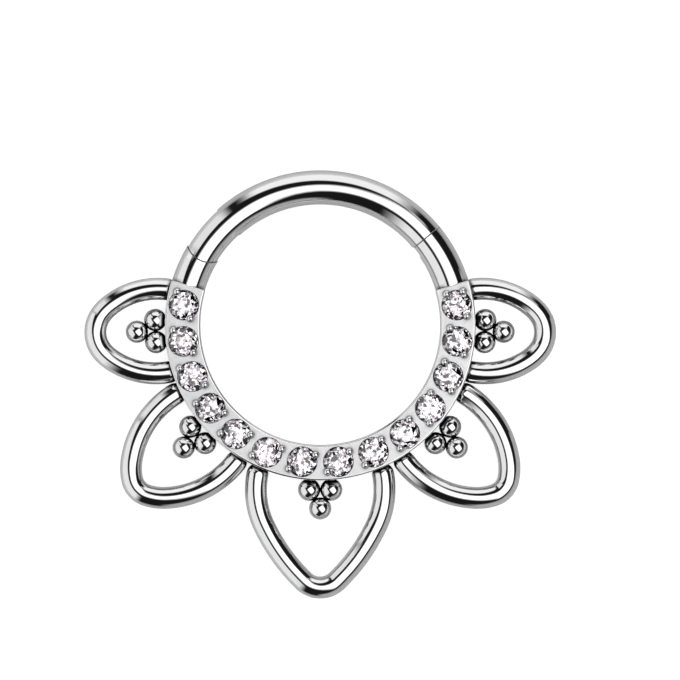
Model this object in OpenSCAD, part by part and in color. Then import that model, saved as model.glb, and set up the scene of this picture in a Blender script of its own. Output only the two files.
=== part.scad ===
// Hinged segment ring for a piercing. A flat band, set with round stones, carries two stubs of
// round wire, five bent wire petals and five clusters of beads, all soldered into one piece.
// A bar of round wire closes the loop: it swings on a pin in the left stub, and a blade at its
// free end goes into a pocket in the right stub. The ring lies flat on its back. Millimetres.
// +Z is the front that shows the stones, +Y points from the bottom petal to the swing bar, and
// the origin is the middle of the loop, on the surface that the ring lies on. Angles are
// counted counterclockwise from +X, seen from the front.

/* [Loop] */
// Clear diameter inside the closed loop
inner_d = 8.4; // [8.2:0.1:9]
// Diameter of the round wire of the bar and the stubs
wire_d = 1.2; // [1.16:0.02:1.24]
// How far the band stands proud of the round wire, all round
band_proud = 0.01; // [0.01:0.005:0.02]
// Chamfer along the four long edges of the band
band_chamfer = 0.05; // [0.03:0.01:0.06]
// Angle above the middle of the loop at which the band ends, on both sides
band_rise = 16.8; // [16:0.2:18]

/* [Hinge] */
// Angle of the hinge pin on the loop
pin_deg = 142; // [140:0.5:144]
// How far the pin lies outside the middle line of the wire
pin_out = 0.07; // [0.05:0.01:0.09]
// Diameter of the hinge pin
pin_d = 0.34; // [0.3:0.01:0.36]
// Gap between the pin and the bar that carries it
pin_fit = 0.01; // [0.005:0.005:0.01]
// Gap between the pin and the tongue that turns on it
pin_play = 0.025; // [0.02:0.005:0.04]
// Metal left over the pin at the front, where the hole is blind
pin_cover = 0.2; // [0.15:0.05:0.25]
// Radius of the rounded hinge end of the bar, about the pin
cheek_r = 0.8; // [0.78:0.01:0.82]
// Gap along both seams between the bar and the stubs
seam_gap = 0.03; // [0.02:0.005:0.04]
// Thickness of the tongue and of the blade
tongue_t = 0.38; // [0.34:0.02:0.4]
// Radius of the tongue's eye, about the pin
eye_r = 0.45; // [0.42:0.01:0.46]
// Half width of the tongue between its eye and the stub
neck_r = 0.4; // [0.36:0.01:0.4]
// Gap on each side of the tongue and the blade, in their slots
slot_play = 0.03; // [0.02:0.005:0.03]
// Angle at which the slot across the hinge end of the bar stops
slot_end_deg = 132; // [131:0.5:133]
// How far the bar is swung open, 0 as shown
opening = 0; // [0:5:110]

/* [Closure] */
// Angle of the straight seam at the free end of the bar
seam_deg = 39.4; // [38:0.2:41]
// Length of the blade at the free end of the bar
blade_l = 0.42; // [0.36:0.02:0.44]
// Width of the blade, from near the inside of the loop
blade_w = 0.6; // [0.5:0.05:0.6]
// How far the blade stays inside the wire's inner side
blade_inset = 0.05; // [0.05:0.01:0.08]

/* [Stones] */
// Number of stones along the band
stone_count = 14; // [8:1:14]
// Girdle diameter of a stone
stone_d = 1.04; // [1:0.01:1.05]
// Angle of the first stone, at the hinge side
first_stone_deg = 171.7; // [171.5:0.1:172]
// Angle from the first stone to the last
stone_span_deg = 196.6; // [196:0.1:197]
// How far the girdle's top lies under the band's face
girdle_sink = 0.08; // [0.06:0.01:0.1]
// Gap between a stone and the metal round it
stone_gap = 0.015; // [0.01:0.005:0.02]
// Table width as a part of the girdle diameter
table_part = 0.57; // [0.53:0.01:0.6]
// Crown height as a part of the girdle diameter
crown_part = 0.15; // [0.14:0.01:0.16]
// Girdle thickness as a part of the girdle diameter
girdle_part = 0.03; // [0.02:0.01:0.04]
// Pavilion depth as a part of the girdle diameter
pavilion_part = 0.43; // [0.41:0.01:0.44]

/* [Grains] */
// Diameter of a grain of metal that holds a stone's edge
grain_d = 0.27; // [0.24:0.01:0.28]
// Distance from the middle of a stone to the middle of its grains
grain_at = 0.52; // [0.5:0.01:0.53]
// How far the middle of a grain lies under the band's face
grain_sink = 0.02; // [0.01:0.01:0.04]

/* [Beads] */
// Diameter of a bead
bead_d = 0.78; // [0.78:0.01:0.8]
// Distance from the middle of the loop to the pair of beads next to the band
bead_pair_u = 5.745; // [5.73:0.005:5.75]
// Distance of each bead of that pair from the petal's middle line
bead_pair_v = 0.385; // [0.38:0.005:0.385]
// Distance from the middle of the loop to the outer bead
bead_tip_u = 6.4; // [6.38:0.01:6.4]

/* [Petals] */
// Diameter of the wire that the petals are bent from
petal_wire_d = 0.77; // [0.74:0.01:0.77]
// Angle of the middle line of the upper left petal
upper_deg = 182.1; // [182:0.1:182.2]
// Angle of the middle line of the lower left petal
lower_deg = 221.9; // [221.9:0.1:222.2]
// Small step that keeps two surfaces from lying exactly in each other where metal is joined
weld_step = 0.004; // [0.003:0.001:0.006]

/* [Hidden] */
// Arcs are true circles in the solids, and have this many sides where they are shown
$fn = 64;
// How far a cutter runs past what it cuts
past = 1;
// More than the reach of the wire on each side of the loop's middle line
clear_r = 1.5;
// Length over which welded lengths of wire lie inside each other
lap = 0.03;

wire_r = wire_d / 2;
loop_r = (inner_d + wire_d) / 2;
band_t = wire_d + 2 * band_proud;
mid_z = band_t / 2;

pin_r = pin_d / 2;
pin_at = (loop_r + pin_out) * [cos(pin_deg), sin(pin_deg)];
slot_t = tongue_t + 2 * slot_play;
// How far the pin lies inside the back of the bar
pin_recess = 0.05;
// The left stub starts here, in the hollow that is cut round the bar's hinge end
stub_start_deg = pin_deg + 4;
// The tongue's root, inside the left stub
tongue_root_deg = pin_deg + 13;
// The bar's wire runs to here before its hinge end is rounded about the pin
raw_end_deg = pin_deg + 14;
// Beyond the bar's wire
beyond_deg = pin_deg + 30;

// The blade, as radii and angles about the middle of the loop
blade_in_r = loop_r - wire_r + blade_inset;
blade_out_r = blade_in_r + blade_w;
bar_end_deg = seam_deg + along(seam_gap);
blade_end_deg = bar_end_deg - along(blade_l);
// The pocket runs this far past the blade's end, and to beyond the stub's end
pocket_play_deg = 0.3;
pocket_deg = 20;

stone_r = stone_d / 2;
girdle_z = band_t - girdle_sink;
stone_step_deg = stone_span_deg / (stone_count - 1);
// Heights in a stone, from the top of its girdle
girdle_t = girdle_part * stone_d;
table_z = crown_part * stone_d;
culet_z = -girdle_t - pavilion_part * stone_d;
table_r = table_part * stone_r;
// Room under the culet, as a multiple of the gap round a stone
under_culet = 1.5;
// The crown's star points lie in from halfway between table and girdle by this factor
star_in = 0.98;
// Radius at which mains and lower halves meet, as a part of the girdle's radius
low_part = 0.24;
// Grains sit at these angles round a stone, from the direction that points out of the loop
GRAIN_DEG = [-55, 125];
// The last stone has one more
LAST_GRAIN_DEG = [-55, 125, 57];

petal_r = petal_wire_d / 2;
// The tip and the side curves are this thin, and the flanks between them have the full radius
bend_r = petal_r - weld_step;
// Each side of a petal is three curves, mirrored about the middle line: a tight tip, a flank and
// the side that runs back to the band. Columns: distance from the middle of the loop to the tip,
// radius of the tip's bend, angle at which it ends, radius of the flank, angle at which it ends,
// radius of the side curve, and distance from the middle of the loop to each end of the wire.
// The angles are those of the petal's outward direction, from its middle line.
UPPER_PETAL = [7.85, 1.06, 40, 1.60, 53, 2.70, 5.52];
LOWER_PETAL = [8.58, 0.74, 30, 1.90, 50, 3.27, 5.60];
BOTTOM_PETAL = [9.16, 0.83, 44, 6.60, 64.8, 2.93, 5.64];
// Columns: angle of the middle line, and shape
PETALS = [
    [upper_deg, UPPER_PETAL],
    [lower_deg, LOWER_PETAL],
    [270, BOTTOM_PETAL],
    [540 - lower_deg, LOWER_PETAL],
    [540 - upper_deg, UPPER_PETAL],
];

function two_digits(i) = i < 10 ? str("0", i) : str(i);
STONE_NODES = [for (i = [1 : stone_count]) str("stone_", two_digits(i))];

// Angle that a length along the loop's middle line takes up
function along(length) = length / loop_r * 180 / PI;
function on_loop(r, a) = r * [cos(a), sin(a)];
function stone_deg(i) = first_stone_deg + i * stone_step_deg;
function grain_degs(i) = i == stone_count - 1 ? LAST_GRAIN_DEG : GRAIN_DEG;

// A sector of the loop from one angle to another, of the profile given as a child
module sweep(from, to) {
    rotate_extrude(start = from, angle = to - from) children();
}

// A length of the loop's round wire
module loop_wire(from, to) {
    sweep(from, to) translate([loop_r, mid_z]) circle(wire_r);
}

// A flat sector about the loop's middle, from radius r1 to r2, at the mid height of the wire
module plate(r1, r2, t, from, to) {
    sweep(from, to) translate([r1, mid_z - t / 2]) square([r2 - r1, t]);
}

// An upright cylinder on the hinge's axis
module on_pin(r, z1, z2) {
    translate([pin_at.x, pin_at.y, z1]) cylinder(r = r, h = z2 - z1);
}

module band() {
    c = band_chamfer;
    h = band_t / 2;
    profile = [
        [-h + c, -h], [h - c, -h], [h, -h + c], [h, h - c],
        [h - c, h], [-h + c, h], [-h, h - c], [-h, -h + c],
    ];
    sweep(180 - band_rise, 360 + band_rise) translate([loop_r, mid_z]) polygon(profile);
}

// The left stub, hollowed round the hinge end of the bar, and the tongue that turns on the pin
module hinge_stub() {
    neck_mid_r = loop_r + pin_out;
    difference() {
        union() {
            difference() {
                loop_wire(stub_start_deg, 180 - band_rise + along(lap));
                on_pin(cheek_r + seam_gap, -past, band_t + past);
            }
            plate(neck_mid_r - neck_r, neck_mid_r + neck_r, tongue_t, pin_deg, tongue_root_deg);
            on_pin(eye_r, mid_z - tongue_t / 2, mid_z + tongue_t / 2);
        }
        on_pin(pin_r + pin_play, -past, band_t + past);
    }
}

// The right stub, with a pocket that follows the blade's path about the pin
module closure_stub() {
    near_r = norm(on_loop(blade_in_r, seam_deg) - pin_at);
    far_r = norm(on_loop(blade_out_r, blade_end_deg) - pin_at) + slot_play;
    low = on_loop(blade_in_r, blade_end_deg) - pin_at;
    low_deg = atan2(low.y, low.x);
    difference() {
        loop_wire(band_rise - along(lap), seam_deg);
        translate([pin_at.x, pin_at.y, mid_z - slot_t / 2])
            rotate_extrude(start = low_deg - pocket_play_deg, angle = pocket_deg)
                translate([near_r - past, 0]) square([far_r - near_r + past, slot_t]);
    }
}

// Middles of the three curves of a petal's shape p
function tip_mid(p) = [p[0] - p[1], 0];
function flank_mid(p) = tip_mid(p) - on_loop(p[3] - p[1], p[2]);
function side_mid(p) = flank_mid(p) + on_loop(p[3] - p[5], p[4]);
// Angle about the side curve's own middle at which that curve reaches the end of the wire
function side_end(p) =
    let (
        c = side_mid(p),
        d = norm(c),
        a = (p[6] * p[6] - p[5] * p[5] + d * d) / (2 * d),
        k = sqrt(p[6] * p[6] - a * a),
        out = (a * c + k * [-c.y, c.x]) / d - c
    ) atan2(out.y, out.x);

// A curve of petal wire about a middle point, the wire's radius given
module bend(mid, r, from, to, thick_r) {
    translate([mid.x, mid.y, mid_z])
        sweep(from, to) translate([r, 0]) circle(thick_r);
}

module half_petal(p) {
    lap_deg = lap / p[3] * 180 / PI;
    wire_end = side_mid(p) + on_loop(p[5], side_end(p));
    bend(flank_mid(p), p[3], p[2] - lap_deg, p[4] + lap_deg, petal_r);
    bend(side_mid(p), p[5], p[4], side_end(p), bend_r);
    translate([wire_end.x, wire_end.y, mid_z]) sphere(petal_r);
}

module petal(p) {
    half_petal(p);
    mirror([0, 1, 0]) half_petal(p);
    bend(tip_mid(p), p[1], -p[2], p[2], bend_r);
}

module bead_cluster() {
    for (side = [-1, 1])
        translate([bead_pair_u, side * bead_pair_v, mid_z]) sphere(d = bead_d);
    translate([bead_tip_u, 0, mid_z]) sphere(d = bead_d);
}

// Puts its children at the middle of stone i, at the height of the girdle's top
module at_stone(i) {
    rotate(stone_deg(i)) translate([loop_r, 0, girdle_z]) children();
}

// Half outline under a stone, with a gap round it
function under_stone(gap) = [[0, culet_z - under_culet * gap], [stone_r + gap, -girdle_t]];

// The hole that a stone sits in: a cone for the pavilion and a straight wall above
module seat() {
    wall = [[stone_r + stone_gap, past], [0, past]];
    rotate_extrude() polygon(concat(under_stone(stone_gap), wall));
}

// The room that a stone takes up, crown and all
module stone_room(gap) {
    crown = [[stone_r + gap, gap / 2], [table_r + gap, table_z + gap], [0, table_z + gap]];
    rotate_extrude() polygon(concat(under_stone(gap), crown));
}

// The grains of stone i, cut back to lie on its crown
module grains(i) {
    at_stone(i) difference() {
        for (a = grain_degs(i))
            rotate(a) translate([grain_at, 0, girdle_sink - grain_sink]) sphere(d = grain_d);
        stone_room(stone_gap + weld_step);
    }
}

module ring_body() {
    color([0.83, 0.83, 0.84]) union() {
        difference() {
            union() {
                band();
                hinge_stub();
                closure_stub();
                for (p = PETALS)
                    rotate(p[0]) {
                        petal(p[1]);
                        bead_cluster();
                    }
            }
            for (i = [0 : stone_count - 1]) at_stone(i) seat();
        }
        for (i = [0 : stone_count - 1]) grains(i);
    }
}

// The bar: round about the pin and slotted for the tongue at its hinge end, with a blade at
// its free end
module swing_bar() {
    swung() color([0.86, 0.86, 0.87]) union() {
        difference() {
            loop_wire(bar_end_deg, raw_end_deg);
            difference() {
                plate(loop_r - clear_r, loop_r + clear_r, 2 * clear_r, pin_deg, beyond_deg);
                on_pin(cheek_r, -past, band_t + past);
            }
            plate(loop_r - clear_r, loop_r + clear_r, slot_t, slot_end_deg, beyond_deg);
            on_pin(pin_r + pin_fit, -past, band_t - pin_cover);
        }
        plate(blade_in_r, blade_out_r, tongue_t, blade_end_deg, bar_end_deg + along(lap));
    }
}

module hinge_pin() {
    swung() color([0.7, 0.7, 0.72]) on_pin(pin_r, pin_recess, band_t - pin_cover - pin_fit);
}

// Turns its children about the pin by the opening angle
module swung() {
    translate(pin_at) rotate(opening) translate(-pin_at) children();
}

// A ring of n points at radius r and height z, turned by a
function ring_points(n, r, z, a) =
    [for (i = [0 : n - 1]) [r * cos(i * 360 / n + a), r * sin(i * 360 / n + a), z]];

// A round brilliant: table, eight star facets, eight kites and sixteen upper halves on the
// crown, sixteen lower halves and eight mains on the pavilion
module brilliant() {
    half = 360 / 16;
    // Points where stars, kites and upper halves meet, in the plane of the kites
    star_r = star_in * (table_r + stone_r) / 2 / cos(half);
    star_z = table_z * (1 - (star_r * cos(half) - table_r) / (stone_r - table_r));
    // Points where mains and lower halves meet, in the plane of the mains
    low_r = low_part * stone_r;
    low_z = culet_z - low_part * cos(half) * (culet_z + girdle_t);
    points = concat(
        ring_points(8, table_r, table_z, 0),
        ring_points(8, star_r, star_z, half),
        ring_points(16, stone_r, 0, 0),
        ring_points(16, stone_r, -girdle_t, 0),
        ring_points(8, low_r, low_z, half),
        [[0, 0, culet_z]]
    );
    // Where each ring starts in the list of points
    star = 8;
    top = 16;
    bottom = 32;
    low = 48;
    culet = 56;
    faces = concat(
        [[for (i = [7 : -1 : 0]) i]],
        [for (i = [0 : 7]) [i, (i + 1) % 8, star + i]],
        [for (i = [0 : 7]) [i, star + i, top + 2 * i, star + (i + 7) % 8]],
        [for (i = [0 : 7]) [star + i, top + 2 * i + 1, top + 2 * i]],
        [for (i = [0 : 7]) [star + i, top + (2 * i + 2) % 16, top + 2 * i + 1]],
        [for (i = [0 : 15]) [top + i, top + (i + 1) % 16, bottom + (i + 1) % 16, bottom + i]],
        [for (i = [0 : 7]) [low + i, bottom + 2 * i, bottom + 2 * i + 1]],
        [for (i = [0 : 7]) [low + i, bottom + 2 * i + 1, bottom + (2 * i + 2) % 16]],
        [for (i = [0 : 7]) [low + i, culet, low + (i + 7) % 8, bottom + 2 * i]]
    );
    polyhedron(points, faces, convexity = 2);
}

module stone(i) {
    color([0.93, 0.88, 0.93]) at_stone(i) brilliant();
}

ring_body();
swing_bar();
hinge_pin();
for (i = [0 : stone_count - 1])
    stone(i);
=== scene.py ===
import math

import bmesh
import bpy
import numpy as np
from mathutils import Matrix, Vector


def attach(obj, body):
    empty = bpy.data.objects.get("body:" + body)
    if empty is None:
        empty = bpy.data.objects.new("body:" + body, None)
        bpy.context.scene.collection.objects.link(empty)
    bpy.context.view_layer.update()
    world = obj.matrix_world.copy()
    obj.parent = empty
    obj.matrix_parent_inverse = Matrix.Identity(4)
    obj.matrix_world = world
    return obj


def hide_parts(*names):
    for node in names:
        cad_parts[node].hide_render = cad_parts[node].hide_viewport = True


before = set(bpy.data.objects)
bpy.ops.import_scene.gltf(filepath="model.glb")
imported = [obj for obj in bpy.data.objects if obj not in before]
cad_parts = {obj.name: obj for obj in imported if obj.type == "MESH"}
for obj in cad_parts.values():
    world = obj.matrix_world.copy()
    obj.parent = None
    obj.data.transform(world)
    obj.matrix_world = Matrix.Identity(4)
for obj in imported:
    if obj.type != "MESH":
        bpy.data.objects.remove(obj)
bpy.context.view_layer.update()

# The band
# A little over half of the loop is a flat band of surgical steel that holds the stones. It is
# cast with the rest of the ring, then filed flat on its front and rounded along its edges.
# Sizes are in millimetres and angles in degrees, counterclockwise from +X seen from the front.
MM = 0.001
LOOP_R = 4.8
BAND_T = 1.22
MID_Z = BAND_T / 2
BAND_EDGE_R = 0.06
BAND_EDGE_STEPS = 6
BAND_END_R = 0.04
BAND_END_DEG = (0, 22, 45, 68, 90)
BAND_FROM, BAND_TO = 163.2, 376.8
# Finishes of the steel: mirror polish, the band's satin front, cut faces in the joints, seats
POLISHED, SATIN, CUT, SEAT = 0, 1, 2, 3
# Points closer than this are one point
TINY = 1e-6


def on_loop(radius, degrees):
    """Point at a radius and an angle from the middle of the loop."""
    return radius * np.array([math.cos(math.radians(degrees)), math.sin(math.radians(degrees))])


def round_run(x, z, radius, from_deg, to_deg, steps):
    """Arc in a section: rows of place and outward normal."""
    angle = np.radians(np.linspace(from_deg, to_deg, steps + 1))
    c, s = np.cos(angle), np.sin(angle)
    return np.stack([x + radius * c, z + radius * s, c, s], axis=1)


def arc_stations(middle, radius, from_deg, to_deg, step_deg=1.0):
    """Stations along an arc: place of the section, its outward angle, its scale and its slope."""
    count = max(2, math.ceil(abs(to_deg - from_deg) / step_deg) + 1)
    rows = []
    for degrees in np.linspace(from_deg, to_deg, count):
        x, y = np.array(middle) + on_loop(radius, degrees)
        rows.append([x, y, math.radians(degrees), 1.0, 0.0])
    return rows


def placed(name, data):
    """A new object in the scene."""
    obj = bpy.data.objects.new(name, data)
    bpy.context.scene.collection.objects.link(obj)
    return obj


def store_normals(mesh, rows):
    """Keeps a true normal for each corner of a mesh."""
    true = mesh.attributes["true_normal"]
    true.data.foreach_set("vector", np.array(rows, np.float32).ravel())


def solid(name, runs, stations, whole_turn=False, finish=POLISHED, end_finish=POLISHED):
    """Closed mesh of a section carried past its stations, with true normals and a finish."""
    stations = np.array(stations)
    verts, faces, normals = [], [], []
    count = len(stations)

    def place(station, row):
        x, y, angle, scale, slope = station
        c, s = math.cos(angle), math.sin(angle)
        side = math.sqrt(1 - slope * slope)
        out = row[0] * scale
        point = (x + out * c, y + out * s, MID_Z + (row[1] - MID_Z) * scale)
        normal = (row[2] * c * side - s * slope, row[2] * s * side + c * slope, row[3] * side)
        return point, normal

    for run in runs:
        grid = [[place(station, row) for row in run] for station in stations]
        start = len(verts)
        width = len(run)
        verts += [point for line in grid for point, _ in line]
        for i in range(count if whole_turn else count - 1):
            after = (i + 1) % count
            for j in range(width - 1):
                quad = [(i, j), (after, j), (after, j + 1), (i, j + 1)]
                faces.append([start + a * width + b for a, b in quad])
                normals += [grid[a][b][1] for a, b in quad]
    finishes = [finish] * len(faces)
    if not whole_turn:
        outline = np.concatenate([run[:-1] for run in runs])
        for station, sign in ((stations[0], -1), (stations[-1], 1)):
            angle, scale = station[2:4]
            if scale == 0:
                continue
            finishes.append(end_finish)
            start = len(verts)
            verts += [place(station, row)[0] for row in outline]
            cap = list(range(start, len(verts)))
            faces.append(cap if sign < 0 else cap[::-1])
            normals += [(-sign * math.sin(angle), sign * math.cos(angle), 0.0)] * len(cap)
    mesh = bpy.data.meshes.new(name)
    mesh.from_pydata(verts, [], faces)
    mesh.attributes.new("true_normal", "FLOAT_VECTOR", "CORNER")
    store_normals(mesh, normals)
    mesh.attributes.new("finish", "INT", "FACE").data.foreach_set("value", finishes)
    bm = bmesh.new()
    bm.from_mesh(mesh)
    bmesh.ops.remove_doubles(bm, verts=bm.verts, dist=TINY)
    bm.to_mesh(mesh)
    bm.free()
    return placed(name, mesh)


def rounded_square(half, edge_r, steps):
    """Section of the band: four flats joined by quarter rounds."""
    flat = half - edge_r
    corners = [(flat, -flat, -90), (flat, flat, 0), (-flat, flat, 90), (-flat, -flat, 180)]
    rows = [round_run(x, z + MID_Z, edge_r, deg, deg + 90, steps) for x, z, deg in corners]
    return [np.concatenate(rows + [rows[0][:1]])]


def eased_ends(stations, radius):
    """Stations of the band, with the edges of both ends rounded off."""
    rows = []
    for degrees in BAND_END_DEG:
        c, s = math.cos(math.radians(degrees)), math.sin(math.radians(degrees))
        rows.append((radius * (1 - s) / LOOP_R, 1 - 2 * radius * (1 - c) / BAND_T, s))
    first, last = [], []
    for inset, scale, slope in rows:
        for end, sign, made in ((stations[0], -1, first), (stations[-1], 1, last)):
            angle = end[2] - sign * inset
            made.append([*on_loop(LOOP_R, math.degrees(angle)), angle, scale, sign * slope])
    return first[::-1] + stations[1:-1] + last


band_section = rounded_square(BAND_T / 2, BAND_EDGE_R, BAND_EDGE_STEPS)
band_route = eased_ends(arc_stations((0, 0), LOOP_R, BAND_FROM, BAND_TO), BAND_END_R)
band = solid("band", band_section, band_route)

# The stubs of round wire
# Two short lengths of 1.2 mm round steel wire stand on the band's ends. The left one is hollowed
# for the bar's rounded end and carries a tongue with an eye, and the right one has a pocket.
WIRE_R = 0.6
WIRE_SIDES = 72
PIN_DEG = 142.0
PIN_OUT = 0.07
PIN = on_loop(LOOP_R + PIN_OUT, PIN_DEG)
PIN_R = 0.17
PIN_PLAY = 0.025
CHEEK_R = 0.8
STUB_FROM_DEG = PIN_DEG + 4
TONGUE_TO_DEG = PIN_DEG + 13
TONGUE_T = 0.38
EYE_R = 0.45
NECK_R = 0.4
SEAM_DEG = 39.4
SEAM_GAP = 0.03
# The joints' edges are eased a little, and under the wire's middle they close up to a hair
SEAM_EASE = 0.015
CLOSED_GAP = 0.006
SLOT_T = 0.44
SLOT_PLAY = 0.03
BLADE_IN, BLADE_OUT = 4.25, 4.85
BLADE_L = 0.42
POCKET_DEG = 20
POCKET_PLAY_DEG = 0.3
# How far a welded piece runs into the next, and how far a cutting tool stands past the metal
LAP = 0.03
PAST = 1.0
PAST_DEG = 1


def along(length):
    """Angle that a length of the loop's middle line takes up."""
    return math.degrees(length / LOOP_R)


def flat_runs(corners, closed):
    """Straight sides through the corners of a section, each with its own normal."""
    corners = np.array(corners, float)
    ends = np.roll(corners, -1, axis=0)
    sides = zip(corners, ends) if closed else zip(corners[:-1], ends[:-1])
    runs = []
    for a, b in sides:
        normal = np.array([(b - a)[1], (a - b)[0]]) / np.linalg.norm(b - a)
        runs.append(np.array([[*a, *normal], [*b, *normal]]))
    return runs


def stored_normals(mesh):
    """The true normals kept on a mesh, one row for each corner."""
    values = np.zeros(len(mesh.loops) * 3, np.float32)
    mesh.attributes["true_normal"].data.foreach_get("vector", values)
    return values.reshape(-1, 3)


def worked(piece, how, tools):
    """The piece with the tools welded on (UNION) or cut away (DIFFERENCE)."""
    group = bpy.data.collections.new("tools")
    for tool in tools:
        group.objects.link(tool)
        if how == "DIFFERENCE":
            store_normals(tool.data, -stored_normals(tool.data))
    boolean = piece.modifiers.new("work", "BOOLEAN")
    boolean.solver = "MANIFOLD"
    boolean.operation = how
    boolean.operand_type = "COLLECTION"
    boolean.collection = group
    graph = bpy.context.evaluated_depsgraph_get()
    made = bpy.data.meshes.new_from_object(piece.evaluated_get(graph))
    piece.modifiers.clear()
    piece.data = made
    for tool in tools:
        bpy.data.objects.remove(tool)
    bpy.data.collections.remove(group)
    return piece


def loop_wire(name, from_deg, to_deg):
    """A length of the loop's round wire."""
    section = [round_run(0, MID_Z, WIRE_R, 0, 360, WIRE_SIDES)]
    stations = arc_stations((0, 0), LOOP_R, from_deg, to_deg)
    return solid(name, section, stations, end_finish=CUT)


def plate(name, middle, r1, r2, low, high, from_deg, to_deg):
    """A flat sector about a middle point."""
    section = flat_runs([(r1, low), (r2, low), (r2, high), (r1, high)], closed=True)
    stations = arc_stations(middle, 0, from_deg, to_deg)
    return solid(name, section, stations, finish=CUT, end_finish=CUT)


def middle_plate(name, middle, r1, r2, thick, from_deg, to_deg):
    """A flat sector at the mid height of the wire."""
    return plate(name, middle, r1, r2, MID_Z - thick / 2, MID_Z + thick / 2, from_deg, to_deg)


def whole_circle(middle, sides):
    """Stations once round a middle point."""
    return arc_stations(middle, 0, 0, 360 - 360 / sides, 360 / sides)


def turned(name, middle, outline, sides=WIRE_SIDES, finish=POLISHED):
    """A turned solid from straight cuts, its outline from the axis, out, up and back."""
    section = flat_runs(outline, closed=False)
    return solid(name, section, whole_circle(middle, sides), whole_turn=True, finish=finish)


def upright(name, radius, low, high):
    """A cylinder on the hinge's axis."""
    return turned(name, PIN, [(0, low), (radius, low), (radius, high), (0, high)], finish=CUT)


bar_end_deg = SEAM_DEG + along(SEAM_GAP)
blade_end_deg = bar_end_deg - along(BLADE_L)
closed_r = CHEEK_R + CLOSED_GAP
open_r = CHEEK_R + SEAM_GAP + SEAM_EASE
hollow_cut = [
    (0, -PAST),
    (closed_r, -PAST),
    (closed_r, MID_Z),
    (open_r, MID_Z),
    (open_r, BAND_T + PAST),
    (0, BAND_T + PAST),
]
hinge_stub = loop_wire("hinge_stub", STUB_FROM_DEG, BAND_FROM + along(LAP))
worked(hinge_stub, "DIFFERENCE", [turned("hollow", PIN, hollow_cut, finish=CUT)])
neck = (LOOP_R + PIN_OUT - NECK_R, LOOP_R + PIN_OUT + NECK_R)
tongue = middle_plate("tongue", (0, 0), *neck, TONGUE_T, PIN_DEG, TONGUE_TO_DEG)
eye = upright("eye", EYE_R, MID_Z - TONGUE_T / 2, MID_Z + TONGUE_T / 2)
worked(hinge_stub, "UNION", [tongue, eye])
worked(hinge_stub, "DIFFERENCE", [upright("eye_hole", PIN_R + PIN_PLAY, -PAST, BAND_T + PAST)])

sill_deg = bar_end_deg - along(CLOSED_GAP)
closure_stub = loop_wire("closure_stub", BAND_TO - 360 - along(LAP), sill_deg)
sill_cut = (LOOP_R - PAST, LOOP_R + PAST, MID_Z, BAND_T + PAST)
sill = plate("sill", (0, 0), *sill_cut, SEAM_DEG - along(SEAM_EASE), sill_deg + PAST_DEG)
worked(closure_stub, "DIFFERENCE", [sill])
near = np.linalg.norm(on_loop(BLADE_IN, SEAM_DEG) - PIN) - PAST
far = np.linalg.norm(on_loop(BLADE_OUT, blade_end_deg) - PIN) + SLOT_PLAY
low_corner = on_loop(BLADE_IN, blade_end_deg) - PIN
pocket_deg = math.degrees(math.atan2(low_corner[1], low_corner[0])) - POCKET_PLAY_DEG
pocket = middle_plate("pocket", PIN, near, far, SLOT_T, pocket_deg, pocket_deg + POCKET_DEG)
worked(closure_stub, "DIFFERENCE", [pocket])

# The petals
# Five petals are bent from 0.77 mm round steel wire: a side curve, a flank and half of the tip on
# each side of the middle line. The rounded wire ends are soldered to the band's outer face.
PETAL_R = 0.385
PETAL_SIDES = 48
PETAL_STEP_DEG = 2
PETAL_END_DEG = (90, 85, 78, 70, 60, 48, 36, 24, 12)
# Columns: distance from the loop's middle to the tip, radius of the tip, angle where it ends,
# radius of the flank, angle where it ends, radius of the side curve, distance to the wire's end
UPPER_PETAL = (7.85, 1.06, 40.0, 1.60, 53.0, 2.70, 5.52)
LOWER_PETAL = (8.58, 0.74, 30.0, 1.90, 50.0, 3.27, 5.60)
BOTTOM_PETAL = (9.16, 0.83, 44.0, 6.60, 64.8, 2.93, 5.64)
# Bearing of each petal's middle line from the loop's middle, and its shape
PETALS = {
    "upper_left": (182.1, UPPER_PETAL),
    "lower_left": (221.9, LOWER_PETAL),
    "bottom": (270.0, BOTTOM_PETAL),
    "lower_right": (318.1, LOWER_PETAL),
    "upper_right": (357.9, UPPER_PETAL),
}


def round_end(station, sign):
    """Stations that close a wire with half a ball past the given one."""
    x, y, angle = station[:3]
    rows = []
    for degrees in PETAL_END_DEG:
        slope = math.sin(math.radians(degrees))
        shift = sign * PETAL_R * slope
        scale = math.cos(math.radians(degrees)) if degrees < 90 else 0.0
        middle = (x - shift * math.sin(angle), y + shift * math.cos(angle))
        rows.append([*middle, angle, scale, min(sign * slope, 1.0)])
    return rows if sign < 0 else rows[::-1]


def turn_normals(mesh, angle):
    """Turns the stored normals with a mesh that was turned about Z."""
    rows = stored_normals(mesh)
    c, s = math.cos(angle), math.sin(angle)
    x, y = rows[:, 0].copy(), rows[:, 1].copy()
    rows[:, 0], rows[:, 1] = c * x - s * y, s * x + c * y
    store_normals(mesh, rows)


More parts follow.
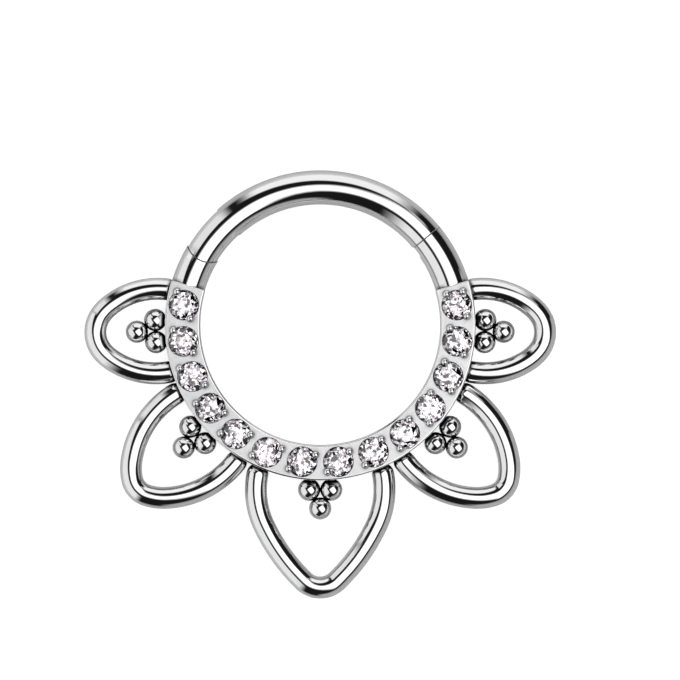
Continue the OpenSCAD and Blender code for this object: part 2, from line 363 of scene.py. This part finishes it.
def petal(name, axis_deg, shape):
    """One petal of bent wire about its middle line."""
    tip_u, tip_r, tip_deg, flank_r, flank_deg, side_r, end_r = shape
    tip_mid = np.array([tip_u - tip_r, 0])
    flank_mid = tip_mid - on_loop(flank_r - tip_r, tip_deg)
    side_mid = flank_mid + on_loop(flank_r - side_r, flank_deg)
    # The wire ends where the side curve comes down to the end's distance from the loop's middle
    reach = np.linalg.norm(side_mid)
    inner = (end_r**2 - side_r**2 + reach**2) / (2 * reach)
    aside = math.sqrt(end_r**2 - inner**2)
    square = np.array([-side_mid[1], side_mid[0]])
    wire_end = (inner * side_mid + aside * square) / reach - side_mid
    end_deg = math.degrees(math.atan2(wire_end[1], wire_end[0]))
    half = arc_stations(tip_mid, tip_r, 0, tip_deg, PETAL_STEP_DEG)
    half += arc_stations(flank_mid, flank_r, tip_deg, flank_deg, PETAL_STEP_DEG)[1:]
    half += arc_stations(side_mid, side_r, flank_deg, end_deg, PETAL_STEP_DEG)[1:]
    other = [[x, -y, -angle, scale, slope] for x, y, angle, scale, slope in half[:0:-1]]
    route = other + half
    route = round_end(route[0], -1) + route + round_end(route[-1], 1)
    made = solid(name, [round_run(0, MID_Z, PETAL_R, 0, 360, PETAL_SIDES)], route)
    made.data.transform(Matrix.Rotation(math.radians(axis_deg), 4, "Z"))
    turn_normals(made.data, math.radians(axis_deg))
    return made


petals = [petal("petal_" + name, *row) for name, row in PETALS.items()]

# The bead clusters
# Inside each petal three solid steel beads of 0.78 mm touch each other and the band: two side by
# side on the band and one outside them, soldered where they touch.
BEAD_R = 0.39
BEAD_SIDES = 48
PAIR_U, PAIR_V = 5.745, 0.385
TIP_U = 6.4
CLUSTER = ((PAIR_U, -PAIR_V), (PAIR_U, PAIR_V), (TIP_U, 0))


def ball(name, middle, radius, z, sides):
    """A round bead."""
    section = [round_run(0, z, radius, -90, 90, sides // 2)]
    return solid(name, section, whole_circle(middle, sides), whole_turn=True)


beads = []
for name, (axis_deg, _) in PETALS.items():
    axes = np.array([on_loop(1, axis_deg), on_loop(1, axis_deg + 90)])
    for k, bead_at in enumerate(CLUSTER):
        beads.append(ball(f"bead_{name}_{k}", bead_at @ axes, BEAD_R, MID_Z, BEAD_SIDES))

# The seats and grains
# Each stone drops into a conical seat that is cut in the band. Small grains of the same steel,
# raised beside the seat, hold the stone's edge: two a stone and three on the last.
STONES = 14
FIRST_STONE, STONE_SPAN = 171.7, 196.6
STONE_R = 0.52
# Parts of the stone's width: table, crown's height, girdle's height and pavilion's depth
TABLE_PART, CROWN_PART, GIRDLE_PART, PAVILION_PART = 0.57, 0.15, 0.03, 0.43
GIRDLE_Z = 1.14
TABLE_R = TABLE_PART * STONE_R
TABLE_Z = CROWN_PART * 2 * STONE_R
GIRDLE_T = GIRDLE_PART * 2 * STONE_R
CULET_Z = -GIRDLE_T - PAVILION_PART * 2 * STONE_R
# Gap of a stone to its seat and to its grains, and how many such gaps are left under its point
STONE_GAP = 0.015
GRAIN_GAP = STONE_GAP + 0.004
POINT_GAPS = 1.5
SEAT_SIDES = 96
GRAIN_R = 0.135
GRAIN_SIDES = 32
GRAIN_AT = 0.52
GRAIN_Z = BAND_T - 0.02
GRAIN_DEG = (-55, 125)
LAST_GRAIN_DEG = (-55, 125, 57)


def under_girdle(gap):
    """Cut round a stone's pavilion, out to its girdle."""
    point = (0, GIRDLE_Z + CULET_Z - POINT_GAPS * gap)
    return [point, (STONE_R + gap, GIRDLE_Z - GIRDLE_T)]


def over_girdle(gap):
    """Cut round a stone's crown, from its girdle in to the axis."""
    rows = [(STONE_R + gap, gap / 2), (TABLE_R + gap, TABLE_Z + gap), (0, TABLE_Z + gap)]
    return [(r, GIRDLE_Z + z) for r, z in rows]


seat_wall = [(STONE_R + STONE_GAP, BAND_T + PAST), (0, BAND_T + PAST)]
seat_cut = under_girdle(STONE_GAP) + seat_wall
room_cut = under_girdle(GRAIN_GAP) + over_girdle(GRAIN_GAP)
seats, rooms, grains = [], [], []
for i in range(STONES):
    stone_deg = FIRST_STONE + i * STONE_SPAN / (STONES - 1)
    stone_at = on_loop(LOOP_R, stone_deg)
    seats.append(turned(f"seat_{i}", stone_at, seat_cut, SEAT_SIDES, SEAT))
    rooms.append(turned(f"room_{i}", stone_at, room_cut, SEAT_SIDES))
    for k, degrees in enumerate(LAST_GRAIN_DEG if i == STONES - 1 else GRAIN_DEG):
        grain_at = stone_at + on_loop(GRAIN_AT, stone_deg + degrees)
        grains.append(ball(f"grain_{i}_{k}", grain_at, GRAIN_R, GRAIN_Z, GRAIN_SIDES))

# The finished ring
# Band, stubs, petals, beads and grains are one soldered piece of steel, polished to a mirror but
# for the band's front, which is left satin. Its corners are darkened with painted shade.
MIRROR_STEEL = (0.86, 0.86, 0.865, 1.0)
SATIN_STEEL = (0.91, 0.91, 0.915, 1.0)
CUT_STEEL = (0.55, 0.55, 0.56, 1.0)
SEAT_STEEL = (0.95, 0.95, 0.955, 1.0)
# Near black: the dark tool lines on cut faces, and the painted shade in corners
DARK_MARKS_AND_SHADE = (0.06, 0.06, 0.065, 1.0)
MIRROR_ROUGH, SATIN_ROUGH, CUT_ROUGH, SEAT_ROUGH = 0.025, 0.38, 0.4, 0.15
# Columns: patches a millimetre along each axis, and detail
WAVES = ((1.1, 1.1, 1.1), 1.0)
CLOUD = ((7, 7, 7), 4.0)
HAIRS = ((4, 70, 40), 2.0)
GRIT = ((14, 14, 14), 3.0)
PATCHES = ((2.5, 2.5, 2.5), 3.0)
LINES = ((45, 45, 3), 3.0)
# Heights of the marks in millimetres, and how much rougher they make the steel
WAVE_H, CLOUD_H, HAIR_H, GRIT_H, LINE_H = 0.0035, 0.00025, -0.00001, 0.003, 0.002
CLOUD_ROUGH, HAIR_ROUGH, GRIT_ROUGH, LINE_ROUGH = 0.05, 0.03, 0.12, 0.2
# Columns: where a mark or a corner's painted shade starts and ends, and its strength at both
HAIR_SHADE = (0.62, 0.72, 0.0, 1.0)
GRIT_SHADE = (0.7, 1.3, 0.4, 0.0)
LINE_SHADE = (0.35, 0.65, 0.5, 0.0)
CORNER_SHADE = (0.6, 0.98, 0.95, 0.0)
CORNER_REACH = 0.16
CORNER_RAYS = 8
STEEL_IN = {"Tint": "Color", "Roughness": "Float"}
STEEL_OUT = {"Color": "Color", "Roughness": "Float", "Height": "Float"}
# What still counts as flat and level with the band's front, and the width of a sliver
FLAT_Z = 0.999
LEVEL = 0.001
SLIVER = 0.0001


def joined(parts):
    """One object from several that don't touch."""
    bm = bmesh.new()
    for part in parts:
        bm.from_mesh(part.data)
    bm.to_mesh(parts[0].data)
    bm.free()
    for part in parts[1:]:
        bpy.data.objects.remove(part)
    return parts[0]


def effect_group(name, inputs, outputs):
    """A node group that several materials share, with its kinds of sockets."""
    tree = bpy.data.node_groups.new(name, "ShaderNodeTree")
    for way, sockets in (("INPUT", inputs), ("OUTPUT", outputs)):
        for socket, kind in sockets.items():
            tree.interface.new_socket(socket, in_out=way, socket_type="NodeSocket" + kind)
    given = tree.nodes.new("NodeGroupInput").outputs
    return tree, given, tree.nodes.new("NodeGroupOutput").inputs


def feed(tree, socket, value):
    """Links a socket to a node's input, or sets the input to a plain value."""
    if isinstance(value, bpy.types.NodeSocket):
        tree.links.new(value, socket)
    else:
        socket.default_value = value


def node(tree, kind, **links):
    """A node whose named inputs are linked to sockets or set to plain values."""
    made = tree.nodes.new("ShaderNode" + kind)
    for name, value in links.items():
        feed(tree, made.inputs[name.replace("_", " ")], value)
    return made


def math_node(tree, operation, *values):
    """Result of one sum on sockets and plain numbers."""
    made = tree.nodes.new("ShaderNodeMath")
    made.operation = operation
    for socket, value in zip(made.inputs, values):
        feed(tree, socket, value)
    return made.outputs["Value"]


def vector_node(tree, operation, *values):
    """Result of one sum on vectors."""
    made = tree.nodes.new("ShaderNodeVectorMath")
    made.operation = operation
    for socket, value in zip([s for s in made.inputs if s.enabled], values):
        feed(tree, socket, value)
    return made.outputs["Vector"]


def spread(tree, value, from_min, from_max, to_min, to_max):
    """A value carried from one range to another, held at its ends."""
    ends = {"From_Min": from_min, "From_Max": from_max, "To_Min": to_min, "To_Max": to_max}
    return node(tree, "MapRange", Value=value, **ends).outputs["Result"]


def mixed(tree, factor, first, second):
    """One colour mixed into another."""
    made = tree.nodes.new("ShaderNodeMix")
    made.data_type = "RGBA"
    for socket, value in zip([s for s in made.inputs if s.enabled], (factor, first, second)):
        feed(tree, socket, value)
    return next(socket for socket in made.outputs if socket.enabled)


def stretched(tree, across):
    """Places on the piece in millimetres, stretched by a factor on each axis."""
    coords = node(tree, "TexCoord")
    return vector_node(tree, "MULTIPLY", coords.outputs["Object"], [v / MM for v in across])


def noise(tree, across, detail):
    """Even noise on stretched places."""
    made = node(tree, "TexNoise", Vector=stretched(tree, across), Scale=1.0, Detail=detail)
    return made.outputs["Fac"]


def painted_corner_shade(tree):
    """Painted shade: how strongly a place that the metal round it shuts in is darkened."""
    made = node(tree, "AmbientOcclusion", Distance=CORNER_REACH * MM)
    made.samples = CORNER_RAYS
    return spread(tree, made.outputs["AO"], *CORNER_SHADE)


def put_out(tree, out, **values):
    """Links results to the outputs of a group."""
    for name, value in values.items():
        tree.links.new(value, out[name])


fine_polish_and_shade, given, out = effect_group("fine_polish_and_shade", STEEL_IN, STEEL_OUT)
waves = noise(fine_polish_and_shade, *WAVES)
cloud = noise(fine_polish_and_shade, *CLOUD)
hairs = spread(fine_polish_and_shade, noise(fine_polish_and_shade, *HAIRS), *HAIR_SHADE)
dull = math_node(fine_polish_and_shade, "MULTIPLY_ADD", cloud, CLOUD_ROUGH, given["Roughness"])
dull = math_node(fine_polish_and_shade, "MULTIPLY_ADD", hairs, HAIR_ROUGH, dull)
height = math_node(fine_polish_and_shade, "MULTIPLY", waves, WAVE_H)
height = math_node(fine_polish_and_shade, "MULTIPLY_ADD", cloud, CLOUD_H, height)
height = math_node(fine_polish_and_shade, "MULTIPLY_ADD", hairs, HAIR_H, height)
# Painted shade: the tint darkens where the metal shuts a place in
color = mixed(fine_polish_and_shade, painted_corner_shade(fine_polish_and_shade), given["Tint"], DARK_MARKS_AND_SHADE)
put_out(fine_polish_and_shade, out, Color=color, Roughness=dull, Height=height)

satin_grain_and_shade, given, out = effect_group("satin_grain_and_shade", STEEL_IN, STEEL_OUT)
grit = noise(satin_grain_and_shade, *GRIT)
patches = noise(satin_grain_and_shade, *PATCHES)
dull = math_node(satin_grain_and_shade, "MULTIPLY_ADD", grit, GRIT_ROUGH, given["Roughness"])
height = math_node(satin_grain_and_shade, "MULTIPLY", grit, GRIT_H)
shade = spread(satin_grain_and_shade, math_node(satin_grain_and_shade, "ADD", grit, patches), *GRIT_SHADE)
color = mixed(satin_grain_and_shade, shade, given["Tint"], CUT_STEEL)
# Painted shade: the tint darkens where the metal shuts a place in
color = mixed(satin_grain_and_shade, painted_corner_shade(satin_grain_and_shade), color, DARK_MARKS_AND_SHADE)
put_out(satin_grain_and_shade, out, Color=color, Roughness=dull, Height=height)

tool_marks, given, out = effect_group("tool_marks", STEEL_IN, STEEL_OUT)
lines = noise(tool_marks, *LINES)
dull = math_node(tool_marks, "MULTIPLY_ADD", lines, LINE_ROUGH, given["Roughness"])
height = math_node(tool_marks, "MULTIPLY", lines, LINE_H)
color = mixed(tool_marks, spread(tool_marks, lines, *LINE_SHADE), given["Tint"], DARK_MARKS_AND_SHADE)
put_out(tool_marks, out, Color=color, Roughness=dull, Height=height)


def dressed(name, effect):
    """A material whose Principled shader is fed by a shared effect."""
    material = bpy.data.materials.new(name)
    material.use_nodes = True
    tree = material.node_tree
    shader = tree.nodes["Principled BSDF"]
    group = tree.nodes.new("ShaderNodeGroup")
    group.node_tree = effect
    for output in ("Color", "Roughness", "Normal"):
        if output in group.outputs:
            socket = shader.inputs["Base Color" if output == "Color" else output]
            tree.links.new(group.outputs[output], socket)
    if "Height" in group.outputs:
        bump = node(tree, "Bump", Distance=MM, Height=group.outputs["Height"])
        tree.links.new(bump.outputs["Normal"], shader.inputs["Normal"])
    return material, shader, group


def steel(name, effect, tint, roughness):
    """Steel with a tint and a roughness."""
    material, shader, group = dressed(name, effect)
    shader.inputs["Metallic"].default_value = 1.0
    group.inputs["Tint"].default_value = tint
    group.inputs["Roughness"].default_value = roughness
    return material


def finished(obj, name, body, nodes, materials):
    """Gives a piece its true normals, its size in metres, its materials and its place."""
    mesh = obj.data
    bm = bmesh.new()
    bm.from_mesh(mesh)
    bmesh.ops.dissolve_degenerate(bm, edges=bm.edges, dist=SLIVER)
    bm.to_mesh(mesh)
    bm.free()
    rows = stored_normals(mesh)
    rows /= np.maximum(np.linalg.norm(rows, axis=1), TINY)[:, None]
    finishes = np.zeros(len(mesh.polygons), np.int32)
    mesh.attributes["finish"].data.foreach_get("value", finishes)
    mesh.attributes.remove(mesh.attributes["finish"])
    mesh.attributes.remove(mesh.attributes["true_normal"])
    mesh.transform(Matrix.Scale(MM, 4))
    mesh.polygons.foreach_set("use_smooth", [True] * len(mesh.polygons))
    mesh.normals_split_custom_set(rows.tolist())
    mesh.materials.clear()
    order = list(materials)
    for finish in order:
        mesh.materials.append(materials[finish])
    mesh.polygons.foreach_set("material_index", [order.index(f) for f in finishes])
    obj.name = name
    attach(obj, body)
    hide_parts(*nodes)


ring = worked(band, "UNION", [hinge_stub, closure_stub] + petals)
# Beads that touch are welded on in turn, since joined pieces may not touch
for k in range(len(CLUSTER)):
    worked(ring, "UNION", [joined(beads[k :: len(CLUSTER)])])
worked(ring, "DIFFERENCE", [joined(seats)])
clawed = worked(joined(grains), "DIFFERENCE", [joined(rooms)])
worked(ring, "UNION", [clawed])
for face, finish in zip(ring.data.polygons, ring.data.attributes["finish"].data):
    if face.normal.z > FLAT_Z and abs(face.center.z - BAND_T) < LEVEL:
        finish.value = SATIN
cut_faces = steel("cut_steel", tool_marks, CUT_STEEL, CUT_ROUGH)
ring_finishes = {
    POLISHED: steel("polished_steel", fine_polish_and_shade, MIRROR_STEEL, MIRROR_ROUGH),
    SATIN: steel("satin_steel", satin_grain_and_shade, SATIN_STEEL, SATIN_ROUGH),
    CUT: cut_faces,
    SEAT: steel("bright_seat", tool_marks, SEAT_STEEL, SEAT_ROUGH),
}
finished(ring, "ring_steel", "ring", ["ring_body"], ring_finishes)

# The swing bar
# The rest of the loop is a bar of the same round steel wire, which goes through the piercing. Its
# left end is rounded and slotted to turn on the tongue, and a flat blade at its right end goes
# into the pocket.
SLOT_END_DEG = 132.0
BAR_TO_DEG = PIN_DEG + 14
TOOL_TO_DEG = PIN_DEG + 30
TOOL_IN, TOOL_OUT = LOOP_R - 1.5, LOOP_R + 1.5
TOOL_T = 3.0
PIN_FIT = 0.01
PIN_COVER = 0.2
BAR_ROUGH = 0.02

bar = loop_wire("bar", bar_end_deg, BAR_TO_DEG)
beyond = middle_plate("beyond", (0, 0), TOOL_IN, TOOL_OUT, TOOL_T, PIN_DEG, TOOL_TO_DEG)
worked(beyond, "DIFFERENCE", [upright("cheek", CHEEK_R, -2 * PAST, BAND_T + 2 * PAST)])
slot = middle_plate("slot", (0, 0), TOOL_IN, TOOL_OUT, SLOT_T, SLOT_END_DEG, TOOL_TO_DEG)
pin_hole = upright("pin_hole", PIN_R + PIN_FIT, -PAST, BAND_T - PIN_COVER)
for tool in (beyond, slot, pin_hole):
    worked(bar, "DIFFERENCE", [tool])
blade_span = (blade_end_deg, bar_end_deg + along(LAP))
blade = middle_plate("blade", (0, 0), BLADE_IN, BLADE_OUT, TONGUE_T, *blade_span)
worked(bar, "UNION", [blade])
bar_polish = steel("bar_steel", fine_polish_and_shade, MIRROR_STEEL, BAR_ROUGH)
bar_finishes = {POLISHED: bar_polish, CUT: cut_faces}
finished(bar, "bar_steel", "bar", ["swing_bar"], bar_finishes)

# The hinge pin
# A drawn steel pin, pushed in from the back and a little short of it, holds the bar on the
# tongue. Its end is chamfered, and it keeps the fine lines of the drawing die.
PIN_RECESS = 0.05
PIN_CHAMFER = 0.03
PIN_TOP = BAND_T - PIN_COVER - PIN_FIT
PIN_ROUGH = 0.15

pin_cut = [
    (0, PIN_RECESS),
    (PIN_R - PIN_CHAMFER, PIN_RECESS),
    (PIN_R, PIN_RECESS + PIN_CHAMFER),
    (PIN_R, PIN_TOP),
    (0, PIN_TOP),
]
drawn = steel("pin_steel", tool_marks, CUT_STEEL, PIN_ROUGH)
pin = turned("pin", PIN, pin_cut)
finished(pin, "pin_steel", "bar", ["hinge_pin"], {POLISHED: drawn})

# The stones
# Fourteen round brilliants of clear cubic zirconia, 1.04 mm across, lie in the seats under the
# grains. Stones this small are cut fast: each facet is a little out of true. Each crown facet
# also
# gets a painted cast: white, pink or lavender for painted fire, grey or black for painted dark
# reflection, and more of those near the edge are painted dark.
CRYSTAL_IOR = 2.15
# How far the facets lean, the share of it under the girdle, and the step that tells them apart
FACET_TILT = 0.09
UNDER_TILT = 0.3
FACET_STEP = 0.02
CHIP_SIZE = 0.115
# How far up a facet faces: from where it belongs to the crown, and up to where to its steep edge
CROWN_FROM, CROWN_FULL = 0.0, 0.05
EDGE_FULL, EDGE_END = 0.8, 0.9
# How many more of the steep ones get a painted dark reflection
EDGE_SHADE_MORE = 0.3
CLEAR = (0.93, 0.90, 0.93, 1.0)
# Columns: share of the facets that come before it, and colour: the clear stone's own, painted
# fire or painted dark reflection
PAINTED_FACET_CASTS = (
    (0.0, CLEAR),
    (0.24, (0.88, 0.70, 0.79, 1.0)),
    (0.36, (0.62, 0.58, 0.74, 1.0)),
    (0.42, (0.34, 0.31, 0.33, 1.0)),
    (0.56, CLEAR),
    (0.70, (0.08, 0.07, 0.075, 1.0)),
    (0.77, (0.0, 0.0, 0.0, 1.0)),
)
FACET_OUT = {"Color": "Color", "Normal": "Vector"}

facet_tilt_and_painted_light, given, out = effect_group("facet_tilt_and_painted_light", {"Tilt": "Float"}, FACET_OUT)
surface = facet_tilt_and_painted_light.nodes.new("ShaderNodeNewGeometry")
own = node(facet_tilt_and_painted_light, "VectorTransform", Vector=surface.outputs["True Normal"])
own.vector_type = "NORMAL"
own.convert_from, own.convert_to = "WORLD", "OBJECT"
facet = vector_node(facet_tilt_and_painted_light, "SNAP", own.outputs["Vector"], [FACET_STEP] * 3)
on_stone = stretched(facet_tilt_and_painted_light, (1, 1, 1))
chips = node(facet_tilt_and_painted_light, "TexVoronoi", Vector=on_stone, Scale=1 / CHIP_SIZE)
chip = vector_node(facet_tilt_and_painted_light, "ADD", facet, chips.outputs["Position"])
chance = node(facet_tilt_and_painted_light, "TexWhiteNoise", Vector=chip)
facing_up = node(facet_tilt_and_painted_light, "SeparateXYZ", Vector=own.outputs["Vector"]).outputs["Z"]
# Painted shade: steep facets near the edge lean toward the dark casts
painted_edge_shade = spread(facet_tilt_and_painted_light, facing_up, EDGE_FULL, EDGE_END, EDGE_SHADE_MORE, 0.0)
on_crown = spread(facet_tilt_and_painted_light, facing_up, CROWN_FROM, CROWN_FULL, 0.0, 1.0)
picked = math_node(facet_tilt_and_painted_light, "ADD", chance.outputs["Value"], painted_edge_shade)
# Painted light: crown facets get painted fire and painted dark reflections
painted_casts = node(facet_tilt_and_painted_light, "ValToRGB", Fac=picked)
painted_casts.color_ramp.interpolation = "CONSTANT"
for k, (start, cast) in enumerate(PAINTED_FACET_CASTS):
    stop = painted_casts.color_ramp.elements[k] if k < 2 else painted_casts.color_ramp.elements.new(start)
    stop.position, stop.color = start, cast
color = mixed(facet_tilt_and_painted_light, on_crown, CLEAR, painted_casts.outputs["Color"])
share = spread(facet_tilt_and_painted_light, facing_up, CROWN_FROM, CROWN_FULL, UNDER_TILT, 1.0)
tilt = math_node(facet_tilt_and_painted_light, "MULTIPLY", given["Tilt"], share)
lean = vector_node(facet_tilt_and_painted_light, "SUBTRACT", chance.outputs["Color"], (0.5, 0.5, 0.5))
lean = vector_node(facet_tilt_and_painted_light, "SCALE", lean, tilt)
lean = vector_node(facet_tilt_and_painted_light, "ADD", surface.outputs["Normal"], lean)
put_out(facet_tilt_and_painted_light, out, Color=color, Normal=vector_node(facet_tilt_and_painted_light, "NORMALIZE", lean))

crystal, shader, group = dressed("crystal", facet_tilt_and_painted_light)
group.inputs["Tilt"].default_value = FACET_TILT
shader.inputs["Roughness"].default_value = 0.0
shader.inputs["IOR"].default_value = CRYSTAL_IOR
shader.inputs["Transmission Weight"].default_value = 1.0
for i in range(STONES):
    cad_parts[f"stone_{i + 1:02d}"].material_slots[0].material = crystal

# The table
# The ring lies on its back on a sheet of white acrylic with a low gloss, which stays white to the
# camera right up to the ring.
SHEET_R = 600.0
SHEET_SIDES = 96
WHITE_ACRYLIC = (0.8, 0.8, 0.8, 1.0)
ACRYLIC_GLOW = (0.75, 0.75, 0.75, 1.0)
ACRYLIC_ROUGH = 0.1

sheet = bpy.data.meshes.new("table")
bm = bmesh.new()
bmesh.ops.create_circle(bm, cap_ends=True, segments=SHEET_SIDES, radius=SHEET_R * MM)
bm.to_mesh(sheet)
bm.free()
table = placed("table", sheet)
acrylic = bpy.data.materials.new("white_acrylic")
acrylic.use_nodes = True
shader = acrylic.node_tree.nodes["Principled BSDF"]
shader.inputs["Base Color"].default_value = WHITE_ACRYLIC
shader.inputs["Roughness"].default_value = ACRYLIC_ROUGH
shader.inputs["Emission Color"].default_value = ACRYLIC_GLOW
seen = node(acrylic.node_tree, "LightPath")
acrylic.node_tree.links.new(seen.outputs["Is Camera Ray"], shader.inputs["Emission Strength"])
sheet.materials.append(acrylic)

# The studio
# A soft box and a narrow strip light hang over the ring, to its right. White screens stand to its
# left, behind it and to its right, and all of them fade out at their edges.
LIGHT_FROM = 150.0
HANGS, STANDS = 0.0, 1.0
# Columns: middle, turn, size, fade and brightness
HUNG = {
    "overhead": ((74.3, -24.4), 39.0, (198, 238), 40, 1.5),
    "strip": ((104.8, 115.6), 47.8, (120, 40), 13.6, 0.54),
}
# Columns: bearing, shift aside, width, height, fade and brightness
STANDING = {
    "left": (213.0, -112.5, 395, 265, 50, 0.9),
    "back": (79.0, 31.0, 250, 166, 50, 1.0),
    "back_left": (152.0, -31.5, 75, 205, 20, 0.85),
    "right": (-46.0, 103.0, 580, 92, 69, 0.42),
}
# The room's own light on the metal, and on what is seen through the stones
ROOM_LIGHT, STONE_LIGHT = 0.01, 0.5
WHITE = (1.0, 1.0, 1.0, 1.0)
EDGES_IN = {"Across": "Float", "Up": "Float", "Fade": "Float", "Standing": "Float"}

soft_edges, given, out = effect_group("soft_edges", EDGES_IN, {"Brightness": "Float"})
surface = soft_edges.nodes.new("ShaderNodeNewGeometry")
across = node(soft_edges, "SeparateXYZ", Vector=surface.outputs["Parametric"]).outputs


def fading(inset):
    """Brightness that climbs from an edge to full over the width of the fade."""
    made = node(soft_edges, "MapRange", Value=inset, From_Max=given["Fade"])
    made.interpolation_type = "SMOOTHSTEP"
    return made.outputs["Result"]


other_side = math_node(soft_edges, "SUBTRACT", 1.0, across["X"])
from_side = math_node(soft_edges, "MINIMUM", across["X"], other_side)
from_side = math_node(soft_edges, "MULTIPLY", from_side, given["Across"])
from_foot = math_node(soft_edges, "MULTIPLY", across["Y"], given["Up"])
from_top = math_node(soft_edges, "SUBTRACT", given["Up"], from_foot)
foot = math_node(soft_edges, "MAXIMUM", fading(from_foot), given["Standing"])
ends = math_node(soft_edges, "MULTIPLY", foot, fading(from_top))
both = math_node(soft_edges, "MULTIPLY", ends, fading(from_side))
put_out(soft_edges, out, Brightness=both)


def soft_light(name, place, size, fade, radiance, standing):
    """A soft-edged light that shines down the last axis of its place, its size in millimetres."""
    data = bpy.data.lights.new(name, "AREA")
    data.shape = "RECTANGLE"
    data.size, data.size_y = size[0] * MM, size[1] * MM
    data.energy = radiance * math.pi * data.size * data.size_y
    data.use_nodes = True
    tree = data.node_tree
    group = tree.nodes.new("ShaderNodeGroup")
    group.node_tree = soft_edges
    for socket, value in zip(EDGES_IN, (*size, fade, standing)):
        group.inputs[socket].default_value = value
    tree.links.new(group.outputs["Brightness"], tree.nodes["Emission"].inputs["Strength"])
    lamp = placed(name, data)
    lamp.matrix_world = place
    lamp.visible_camera = False


def rotation(degrees, axis):
    """A turn about one axis."""
    return Matrix.Rotation(math.radians(degrees), 4, axis)


for name, (middle, turn_deg, size, fade, radiance) in HUNG.items():
    place = Matrix.Translation(Vector((*middle, LIGHT_FROM)) * MM) @ rotation(turn_deg, "Z")
    soft_light(name, place, size, fade, radiance, HANGS)
for name, (toward_deg, aside, width, high, fade, radiance) in STANDING.items():
    shift = Matrix.Translation(Vector((aside, -LIGHT_FROM, high / 2)) * MM)
    place = rotation(toward_deg + 90, "Z") @ shift @ rotation(90, "X")
    soft_light(name, place, (width, high), fade, radiance, STANDS)

world = bpy.data.worlds.new("studio")
world.use_nodes = True
bpy.context.scene.world = world
room = world.node_tree
seen = node(room, "LightPath").outputs
glow = spread(room, seen["Is Transmission Ray"], 0.0, 1.0, ROOM_LIGHT, STONE_LIGHT)
air = room.nodes["Background"].inputs
air["Color"].default_value = WHITE
room.links.new(math_node(room, "MAXIMUM", seen["Is Camera Ray"], glow), air["Strength"])

# The camera
# A long lens looks straight down on the ring's front. It sees 23.72 mm across, with the loop a
# little to the left of the middle and above it.
VIEW_W = 23.72
VIEW_MIDDLE = (0.687, -0.523)
LENS = 400
CLIP_NEAR, CLIP_FAR = 0.01, 10.0

camera_data = bpy.data.cameras.new("camera")
camera_data.lens = LENS
camera_data.clip_start, camera_data.clip_end = CLIP_NEAR, CLIP_FAR
distance = VIEW_W * LENS / camera_data.sensor_width
camera = placed("camera", camera_data)
camera.location = Vector((*VIEW_MIDDLE, MID_Z + distance)) * MM
bpy.context.scene.camera = camera
bpy.context.scene.view_settings.view_transform = "Standard"
